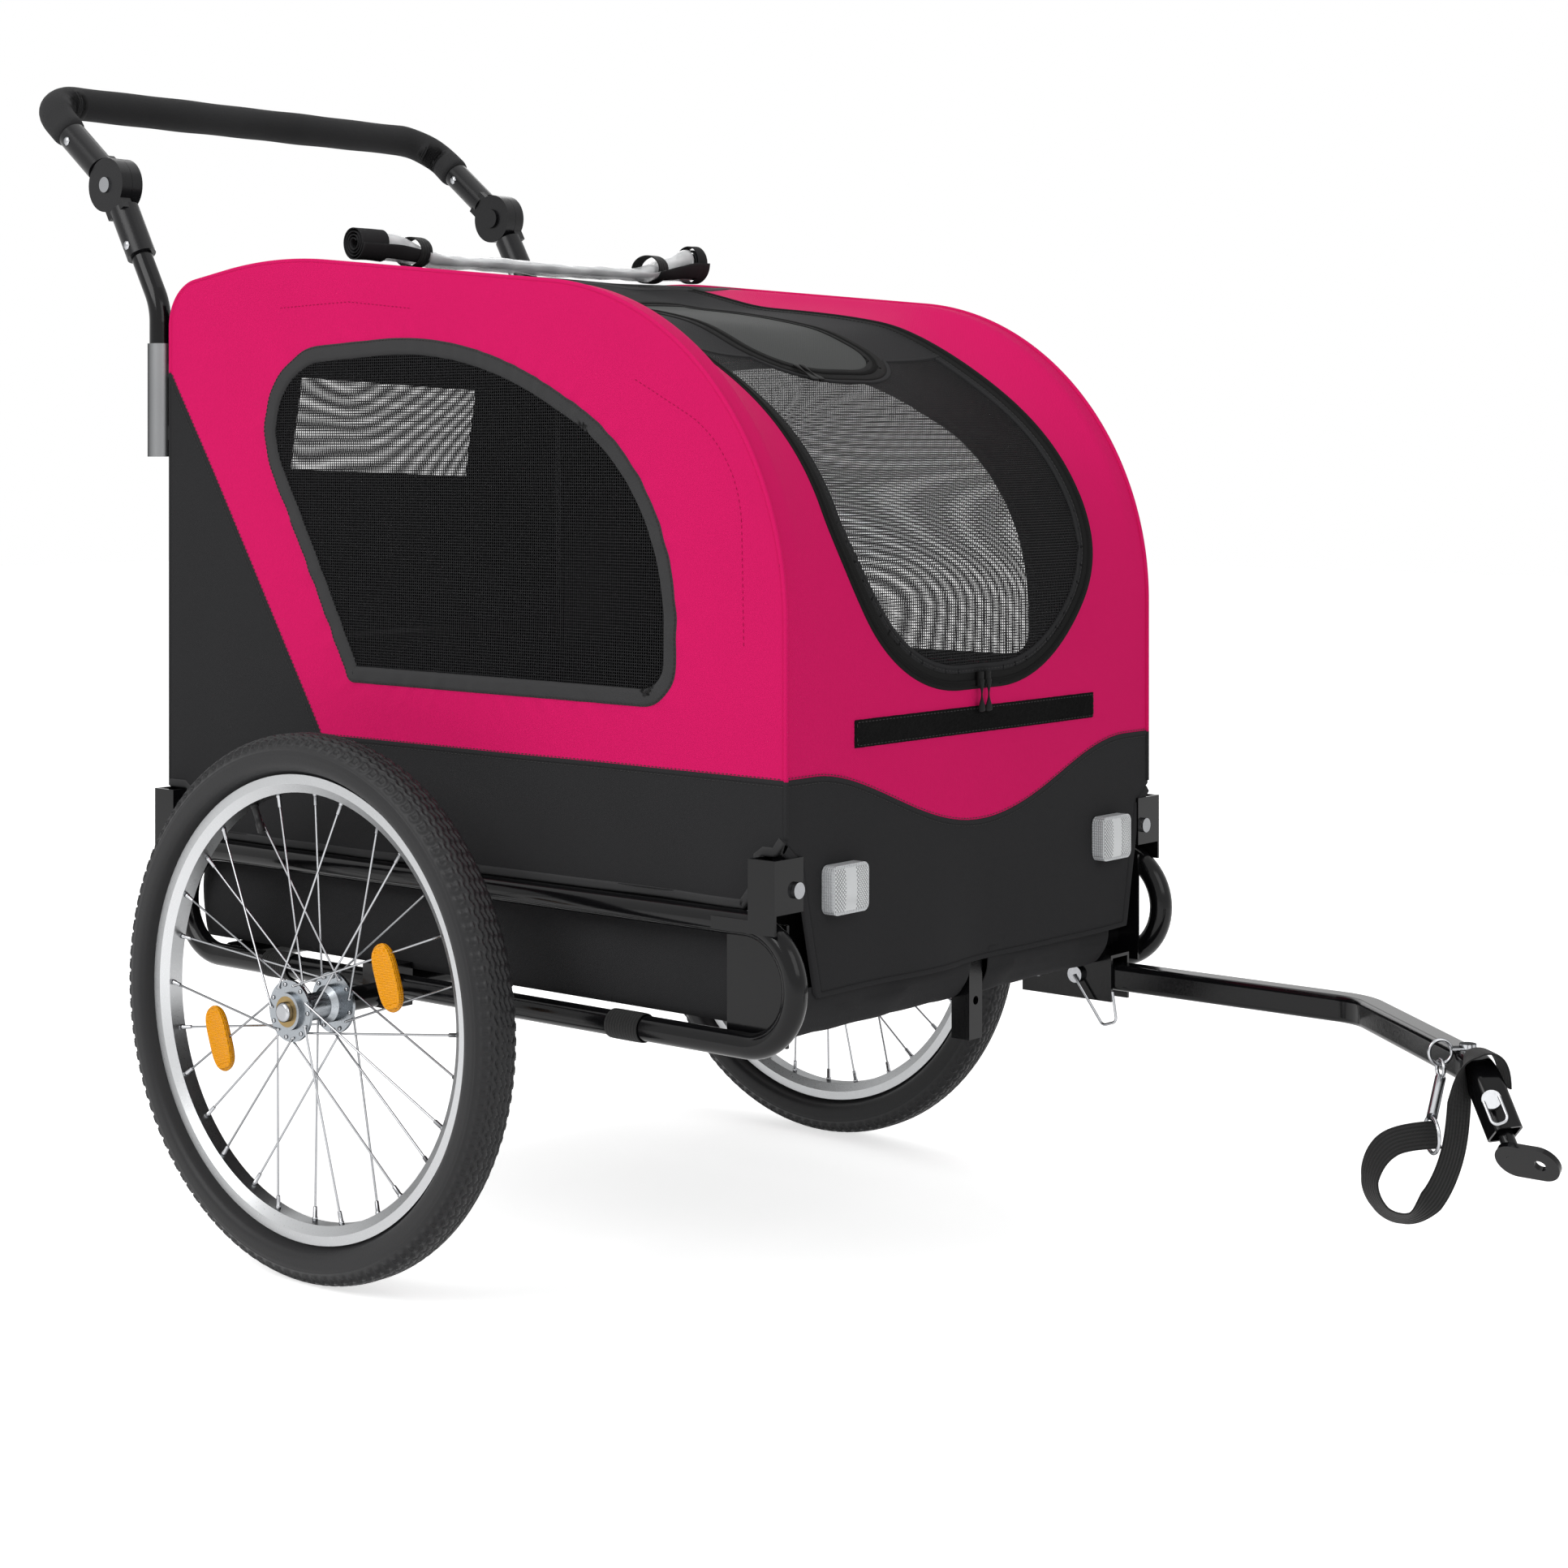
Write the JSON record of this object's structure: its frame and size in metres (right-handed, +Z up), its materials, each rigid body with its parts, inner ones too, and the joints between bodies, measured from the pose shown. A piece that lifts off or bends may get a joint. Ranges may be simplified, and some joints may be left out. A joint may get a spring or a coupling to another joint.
{
  "type": "dog bike trailer",
  "caption": "Two-wheeled bicycle trailer with a framed cloth cabin for a dog, zipped mesh door, side windows, push handle and a cranked tow arm.",
  "frame": {"origin": "on the ground, midway along the length between the handle's grip and the hitch plate, on the trailer's middle plane", "axes": "+X forward along the length to the hitch, +Y to the left, +Z up"},
  "size_m": [1.581, 0.8276, 1.1485],
  "materials": {
    "black_frame": "gloss black powder coat",
    "zinc": "bright zinc",
    "hub_metal": "bright zinc",
    "bearing_brass": "dull brass",
    "rim_alloy": "brushed",
    "tyre_rubber": "matte",
    "amber_lens": "moulded amber lens",
    "clear_lens": "moulded clear lens",
    "pink_cloth": "woven coated cloth",
    "black_cloth": "woven coated cloth",
    "mesh_cloth": "open mesh",
    "clear_sheet": "rolled clear film",
    "board": "matte",
    "grey_plastic": "satin",
    "hinge_plastic": "satin",
    "zip_metal": "black lacquer",
    "foam": "matte foam",
    "webbing": "woven webbing"
  },
  "bodies": {
    "frame": {"right_base_loop": "black_frame", "left_base_loop": "black_frame", "cross_tubes": "black_frame", "axle_brackets": "black_frame", "axle_pins": "zinc", "corner_brackets": "black_frame", "frame_bolts": "zinc", "right_hoop": "black_frame", "left_hoop": "black_frame", "cabin_crossbars": "black_frame", "right_side_panel": "pink_cloth", "left_side_panel": "pink_cloth", "right_side_skirt": "black_cloth", "left_side_skirt": "black_cloth", "window_meshes": "mesh_cloth", "front_skirt": "black_cloth", "front_panel": "pink_cloth", "rear_panel": "black_cloth", "closing_strip": "black_cloth", "front_reflectors": "clear_lens", "floor_tub": "black_cloth", "floor_board": "board", "rain_cover_roll": "clear_sheet", "rain_cover_ties": "black_cloth", "handle_sleeves": "grey_plastic", "tow_channel": "black_frame", "wheel_receiver": "black_frame"},
    "door": {"door_frame": "black_cloth", "door_mesh": "mesh_cloth", "door_zip_pullers": "zip_metal"},
    "hatch": {"roof_hatch": "black_cloth"},
    "right_wheel": {"right_tyre": "tyre_rubber", "right_rim": "rim_alloy", "right_spokes": "zinc", "right_hub": "hub_metal", "right_hub_bearings": "bearing_brass", "right_wheel_reflectors": "amber_lens"},
    "left_wheel": {"left_tyre": "tyre_rubber", "left_rim": "rim_alloy", "left_spokes": "zinc", "left_hub": "hub_metal", "left_hub_bearings": "bearing_brass", "left_wheel_reflectors": "amber_lens"},
    "handle": {"handle_legs": "black_frame", "hinge_housings": "hinge_plastic", "hinge_screws": "zinc"},
    "handlebar": {"handlebar_tube": "black_frame", "foam_grip": "foam", "hinge_knuckles": "hinge_plastic"},
    "right_button": {"right_hinge_button": "hinge_plastic"},
    "left_button": {"left_hinge_button": "hinge_plastic"},
    "arm": {"tow_arm": "black_frame", "strap_anchor": "zinc", "safety_strap": "webbing", "snap_hook": "zinc"},
    "lock_pin": {"tow_lock_pin": "zinc", "tow_pin_bail": "zinc"},
    "coupler": {"hitch_coupler": "black_frame"},
    "coupler_pin": {"hitch_pin": "zinc", "hitch_pin_bail": "zinc"}
  },
  "joints": [
    {"name": "right_wheel_spin", "type": "hinge", "parent": "frame", "child": "right_wheel", "pos_m": [-0.22813, -0.3765, 0.25], "axis": [0, 1, 0], "continuous": true},
    {"name": "left_wheel_spin", "type": "hinge", "parent": "frame", "child": "left_wheel", "pos_m": [-0.22813, 0.3765, 0.25], "axis": [0, 1, 0], "continuous": true},
    {"name": "handle_lift", "type": "slide", "parent": "frame", "child": "handle", "axis": [0, 0, 1], "range_m": [0, 0.09]},
    {"name": "handlebar_tilt", "type": "hinge", "parent": "handle", "child": "handlebar", "pos_m": [-0.64645, 0, 1.032], "axis": [0, 1, 0], "range_deg": [-75, 75]},
    {"name": "right_button_press", "type": "slide", "parent": "handlebar", "child": "right_button", "axis": [0, -1, 0], "range_m": [0, 0.003], "stiffness_N_per_m": 800},
    {"name": "left_button_press", "type": "slide", "parent": "handlebar", "child": "left_button", "axis": [0, 1, 0], "range_m": [0, 0.003], "stiffness_N_per_m": 800},
    {"name": "tow_arm_fold", "type": "hinge", "parent": "frame", "child": "arm", "pos_m": [0.16587, 0.235, 0.247], "axis": [0, 1, 0], "range_deg": [0, 95]},
    {"name": "lock_pin_pull", "type": "slide", "parent": "frame", "child": "lock_pin", "axis": [0, -1, 0], "range_m": [0, 0.045]},
    {"name": "hitch_swivel", "type": "hinge", "parent": "arm", "child": "coupler", "pos_m": [0.72769, 0.05559, 0.21942], "axis": [0.2408, -0.8129, 0.5303], "range_deg": [-8, 8]},
    {"name": "hitch_pin_pull", "type": "slide", "parent": "arm", "child": "coupler_pin", "axis": [0.2408, -0.8129, 0.5303], "range_m": [0, 0.045]},
    {"name": "front_door_open", "type": "hinge", "parent": "frame", "child": "door", "pos_m": [-0.26813, 0, 0.93461], "axis": [0, -1, 0], "range_deg": [0, 85]},
    {"name": "roof_hatch_open", "type": "hinge", "parent": "door", "child": "hatch", "pos_m": [-0.18813, 0, 0.9222], "axis": [0, -1, 0], "range_deg": [0, 60]}
  ]
}
